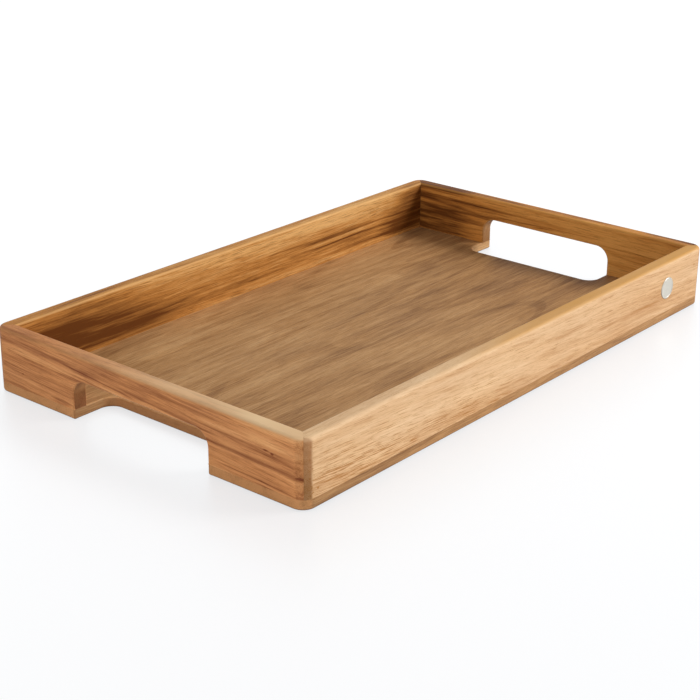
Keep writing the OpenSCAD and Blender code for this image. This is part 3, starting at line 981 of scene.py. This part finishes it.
class TRAY_OT_joinery(bpy.types.Operator):
    """Builds the hidden dowels and mitre splines"""

    bl_idname = "tray.joinery"
    bl_label = "Dowels and Splines"

    def execute(self, context):
        sizes, colours = context.scene.tray_sizes, context.scene.tray_colours
        pale, dark = tuple(colours.joinery_pale), tuple(colours.joinery_dark)
        dowel_wood = joinery_material("wood_dowels", (0, 0, 0), pale, dark)
        spline_wood = joinery_material("wood_splines", (math.radians(90), math.radians(45), 0), pale, dark)
        tree = dowel_tree()
        long, short = dowel_places(sizes)
        y, x = sizes.wide / 2 - sizes.rail / 2, sizes.long / 2 - sizes.rail / 2
        rows = {
            "front_dowels": [(p, -y) for p in long],
            "back_dowels": [(p, y) for p in long],
            "left_end_dowels": [(-x, p) for p in short],
            "right_end_dowels": [(x, p) for p in short],
        }
        for node, places in rows.items():
            piece = self.dowel_row(sizes, tree, node, places, dowel_wood)
            finish(piece, node, dowel_wood)
        for node in ("front_right", "back_right", "back_left", "front_left"):
            piece = self.spline(sizes, node)
            finish(piece, "spline_" + node, spline_wood)
        return {"FINISHED"}

    def dowel_row(self, sizes, tree, node, places, material):
        """A row of fluted dowels by the node tree, on points in the row's mesh."""
        foot = sizes.base - DOWEL_DEPTH
        mesh = bpy.data.meshes.new(node)
        mesh.from_pydata([(px, py, foot) for px, py in places], [], [])
        piece = object_from("fluted_" + node, mesh)
        step = piece.modifiers.new("dowels", "NODES")
        step.node_group = tree
        values = {
            "Diameter": sizes.dowel,
            "Length": sizes.dowel_long,
            "Chamfer": 1 * MM,
            "Flutes": 16,
            "Flute Depth": 0.18 * MM,
            "Wood": material,
        }
        for item in tree.interface.items_tree:
            if item.in_out == "INPUT" and item.name in values:
                step[item.identifier] = values[item.name]
        apply_modifiers(piece)
        return piece

    def spline(self, sizes, node):
        """A loose tongue with eased edges, standing across its mitre."""
        half_t, half_w, soft = sizes.spline_thick / 2, sizes.spline_wide / 2, 0.4 * MM
        tall = SPLINE_HIGH.z - SPLINE_LOW.z
        rings = []
        for inset, z in ((soft, 0.0), (0.0, soft), (0.0, tall - soft), (soft, tall)):
            t, w = half_t - inset, half_w - inset
            outline = []
            for start, (sx, sy) in zip((0, 90, 180, 270), ((1, 1), (-1, 1), (-1, -1), (1, -1))):
                outline += arc((sx * (t - soft), sy * (w - soft)), soft, start, start + 90, 4)
            rings.append([(p.x, p.y, z) for p in outline])
        bm = loft(rings)[0]
        side_x = 1 if "right" in node else -1
        side_y = 1 if "back" in node else -1
        inner = (side_x * (sizes.long / 2 - sizes.rail), side_y * (sizes.wide / 2 - sizes.rail), sizes.base)
        turn = Matrix.Rotation(math.atan2(side_y, side_x), 4, "Z")
        lean = turn @ Matrix.Translation((SPLINE_SHIFT, 0, 0))
        return object_from_bmesh("loose_spline_" + node, turned(bm, Matrix.Translation(inner) @ lean))


def dowel_tree():
    """Geometry nodes that stand a fluted, chamfered dowel on each point."""
    tree = bpy.data.node_groups.new("fluted_dowels", "GeometryNodeTree")
    face = tree.interface
    face.new_socket("Points", in_out="INPUT", socket_type="NodeSocketGeometry")
    for name, kind in (
        ("Diameter", "NodeSocketFloat"),
        ("Length", "NodeSocketFloat"),
        ("Chamfer", "NodeSocketFloat"),
        ("Flutes", "NodeSocketInt"),
        ("Flute Depth", "NodeSocketFloat"),
        ("Wood", "NodeSocketMaterial"),
    ):
        face.new_socket(name, in_out="INPUT", socket_type=kind)
    face.new_socket("Dowels", in_out="OUTPUT", socket_type="NodeSocketGeometry")
    nodes = Nodes(tree)
    given = nodes.add("NodeGroupInput")
    inputs = {socket.name: Field(nodes, socket) for socket in given.socket.node.outputs if socket.name}
    radius = inputs["Diameter"] / 2.0

    # A line of four points, two at each end of the chamfers
    third = nodes.vector(0.0, 0.0, inputs["Length"] / 3.0)
    stick = nodes.add("GeometryNodeMeshLine", {"mode": "OFFSET"}, {"Count": 4, "Offset": third})
    number = nodes.add("GeometryNodeInputIndex")
    less = {"data_type": "INT", "operation": "LESS_THAN"}
    ends = nodes.add("FunctionNodeCompare", less, {"A_INT": number, "B_INT": 2})
    low = number * inputs["Chamfer"]
    high = inputs["Length"] - (3.0 - number) * inputs["Chamfer"]
    sockets = {"Switch": ends, "False": high, "True": low}
    level = nodes.vector(0.0, 0.0, nodes.add("GeometryNodeSwitch", {"input_type": "FLOAT"}, sockets))
    stick = nodes.add("GeometryNodeSetPosition", None, {"Geometry": stick, "Position": level})
    stick = nodes.add("GeometryNodeMeshToCurve", None, {0: stick})
    tip = abs(number - 1.5)
    narrow = 1.0 - (tip - 0.5) * inputs["Chamfer"] / radius

    # The fluted outline, swept along that line
    sockets = {"Resolution": 96, "Radius": radius}
    round_outline = nodes.add("GeometryNodeCurvePrimitiveCircle", {"mode": "RADIUS"}, sockets)
    spot = nodes.add("GeometryNodeInputPosition")
    px, py = nodes.split(spot)[:2]
    turn = nodes.add("ShaderNodeMath", {"operation": "ARCTAN2"}, {0: py, 1: px})
    wave = nodes.add("ShaderNodeMath", {"operation": "COSINE"}, {0: turn * inputs["Flutes"]})
    dip = nodes.ease(wave, 0.2, 1.0) * inputs["Flute Depth"] / radius
    fluted = nodes.add("ShaderNodeVectorMath", {"operation": "SCALE"}, {0: spot, "Scale": 1.0 - dip})
    outline = nodes.add("GeometryNodeSetPosition", None, {"Geometry": round_outline, "Position": fluted})
    sockets = {"Curve": stick, "Profile Curve": outline, "Scale": narrow, "Fill Caps": True}
    body = nodes.add("GeometryNodeCurveToMesh", None, sockets)
    rows = nodes.add("GeometryNodeInstanceOnPoints", None, {"Points": inputs["Points"], "Instance": body})
    solid = nodes.add("GeometryNodeRealizeInstances", None, {0: rows})
    done = nodes.add("GeometryNodeSetMaterial", None, {"Geometry": solid, "Material": inputs["Wood"]})
    out = tree.nodes.new("NodeGroupOutput")
    nodes.fill(out.inputs[0], done)
    return tree


class TRAY_OT_badge(bpy.types.Operator):
    """Builds the bare round badge with its pin"""

    bl_idname = "tray.badge"
    bl_label = "Badge"

    def execute(self, context):
        sizes, colours = context.scene.tray_sizes, context.scene.tray_colours
        radius, centre = sizes.badge / 2, badge_centre(sizes)
        profile = [
            (0.0, -0.5 * MM),
            (radius * 0.5, -0.49 * MM),
            (radius - 1.75 * MM, -0.45 * MM),
            (radius - 1.6 * MM, -0.38 * MM),
            (radius - 1.35 * MM, -0.38 * MM),
            (radius - 1.15 * MM, -0.54 * MM),
            (radius - 0.85 * MM, -0.6 * MM),
            (radius - 0.5 * MM, -0.58 * MM),
            (radius - 0.16 * MM, -0.42 * MM),
            (radius, -0.15 * MM),
            (radius, 0.7 * MM),
            (radius - 0.1 * MM, BADGE_BACK),
            (PIN_RADIUS, BADGE_BACK),
            (PIN_RADIUS, 6.5 * MM),
            (0.9 * MM, PIN_END),
            (0.0, PIN_END),
        ]
        piece = object_from_bmesh("turned_badge", self.lathe(profile, centre, 72))
        metal = badge_material("satin_metal", tuple(colours.badge_metal), centre)
        finish(piece, "badge", metal)
        return {"FINISHED"}

    def lathe(self, profile, centre, steps):
        """A bmesh turned about the line through the centre along Y; the profile gives radius and depth."""
        bm = bmesh.new()
        rings = []
        for radius, depth in profile:
            if radius == 0.0:
                rings.append([bm.verts.new((centre.x, centre.y + depth, centre.z))])
                continue
            ring = arc((centre.x, centre.z), radius, 0, 360, steps)[:-1]
            rings.append([bm.verts.new((p.x, centre.y + depth, p.y)) for p in ring])
        for first, second in zip(rings, rings[1:]):
            for i in range(steps):
                j = (i + 1) % steps
                round_trip = ((first, i), (first, j), (second, j), (second, i))
                corners = [ring[k % len(ring)] for ring, k in round_trip]
                bm.faces.new(list(dict.fromkeys(corners)))
        return bm


class TRAY_OT_stage(bpy.types.Operator):
    """Sets up the floor, the light and the camera"""

    bl_idname = "tray.stage"
    bl_label = "Stage"

    def execute(self, context):
        scene = context.scene
        scene.view_settings.view_transform = "Standard"
        self.floor()
        self.surroundings(scene)
        self.lamp("key", place=(2.25, -2.25, 2.2), size=1.3, power=134.0)
        self.lamp("fill", place=(-2.4, -0.45, 0.55), size=1.4, power=23.0)
        self.camera(scene)
        return {"FINISHED"}

    def floor(self):
        """A white, faintly glossy table top."""
        lights_tray, under_glow = (0.85, 0.85, 0.85), (0.1, 0.1, 0.1)
        open_table, painted_shadow_glow = (0.785, 0.79, 0.8), (0.66, 0.68, 0.70)
        bm = bmesh.new()
        bmesh.ops.create_grid(bm, x_segments=8, y_segments=8, size=6.0)
        bmesh.ops.translate(bm, verts=bm.verts, vec=(0, 0, -0.2 * MM))
        piece = object_from_bmesh("floor", bm)
        material, nodes, shader = new_material("white_table")
        seen = self.seen_directly(nodes)
        nodes.fill(shader.inputs["Base Color"], nodes.mix(seen, lights_tray, under_glow))
        # Painted contact shadow: the table's glow is darker beside the tray, where ambient occlusion finds it
        # near
        openness = nodes.add("ShaderNodeAmbientOcclusion", {"samples": 8}, {"Distance": 0.08}, "AO")
        glow = nodes.mix(openness, painted_shadow_glow, open_table)
        nodes.fill(shader.inputs["Emission Color"], nodes.mix(seen, (0.0, 0.0, 0.0), glow))
        shader.inputs["Emission Strength"].default_value = 1.0
        shader.inputs["Roughness"].default_value = 0.42
        shader.inputs["Specular IOR Level"].default_value = 1.0
        piece.data.materials.append(material)

    def seen_directly(self, nodes):
        """1 for rays from the camera and for reflections, 0 for rays that light the tray."""
        rays = ("Is Camera Ray", "Is Glossy Ray", "Is Transmission Ray")
        return sum(nodes.add("ShaderNodeLightPath", None, None, ray) for ray in rays).held()

    def surroundings(self, scene):
        """An even, pale studio that shows white behind the tray and in reflections."""
        world = bpy.data.worlds.new("studio")
        world.use_nodes = True
        world.node_tree.nodes.clear()
        nodes = Nodes(world.node_tree)
        shade = nodes.mix(self.seen_directly(nodes), (0.25, 0.25, 0.25), (1.0, 1.0, 1.0))
        sky = nodes.add("ShaderNodeBackground", None, {"Color": shade, "Strength": 1.0})
        nodes.add("ShaderNodeOutputWorld", None, {"Surface": sky})
        scene.world = world

    def lamp(self, name, place, size, power):
        """A large soft lamp that looks at the tray."""
        light = bpy.data.lights.new(name, "AREA")
        light.shape = "SQUARE"
        light.size = size
        light.energy = power
        lamp = bpy.data.objects.new(name, light)
        lamp.location = place
        lamp.rotation_euler = (-Vector(place)).to_track_quat("-Z", "Y").to_euler()
        bpy.context.scene.collection.objects.link(lamp)

    def camera(self, scene):
        """The photograph's view."""
        eye = (-0.92852, -0.75529, 0.48365)
        yaw, pitch, roll = 0.69775, 0.38902, 0.00581
        ahead = Vector((math.cos(pitch) * math.cos(yaw), math.cos(pitch) * math.sin(yaw), -math.sin(pitch)))
        right = ahead.cross(Vector((0, 0, 1))).normalized()
        up = right.cross(ahead)
        side = right * math.cos(roll) + up * math.sin(roll)
        top = up * math.cos(roll) - right * math.sin(roll)
        data = bpy.data.cameras.new("camera")
        data.sensor_width = 36.0
        data.lens = 84.30
        data.clip_start = 0.01
        camera = bpy.data.objects.new("camera", data)
        turn = Matrix((side, top, -ahead)).transposed().to_4x4()
        camera.matrix_world = Matrix.Translation(eye) @ turn
        scene.collection.objects.link(camera)
        scene.camera = camera


class TRAY_PT_builder(bpy.types.Panel):
    """Lists the tray's pieces, sizes and colours"""

    bl_label = "Serving Tray"
    bl_idname = "TRAY_PT_builder"
    bl_space_type = "VIEW_3D"
    bl_region_type = "UI"
    bl_category = "Tray"

    def draw(self, context):
        for operator in OPERATORS:
            self.layout.operator(operator.bl_idname)
        for group in (context.scene.tray_sizes, context.scene.tray_colours):
            column = self.layout.column(align=True)
            for name in group.__annotations__:
                column.prop(group, name)


OPERATORS = (
    TRAY_OT_long_rails,
    TRAY_OT_end_rails,
    TRAY_OT_base,
    TRAY_OT_joinery,
    TRAY_OT_badge,
    TRAY_OT_stage,
)
CLASSES = (TraySizes, TrayColours, *OPERATORS, TRAY_PT_builder)


def register():
    for part in CLASSES:
        bpy.utils.register_class(part)
    bpy.types.Scene.tray_sizes = bpy.props.PointerProperty(type=TraySizes)
    bpy.types.Scene.tray_colours = bpy.props.PointerProperty(type=TrayColours)


def unregister():
    del bpy.types.Scene.tray_colours
    del bpy.types.Scene.tray_sizes
    for part in reversed(CLASSES):
        bpy.utils.unregister_class(part)


def main():
    """Builds every piece."""
    register()
    for operator in OPERATORS:
        group, name = operator.bl_idname.split(".")
        getattr(getattr(bpy.ops, group), name)()


if __name__ == "__main__":
    main()
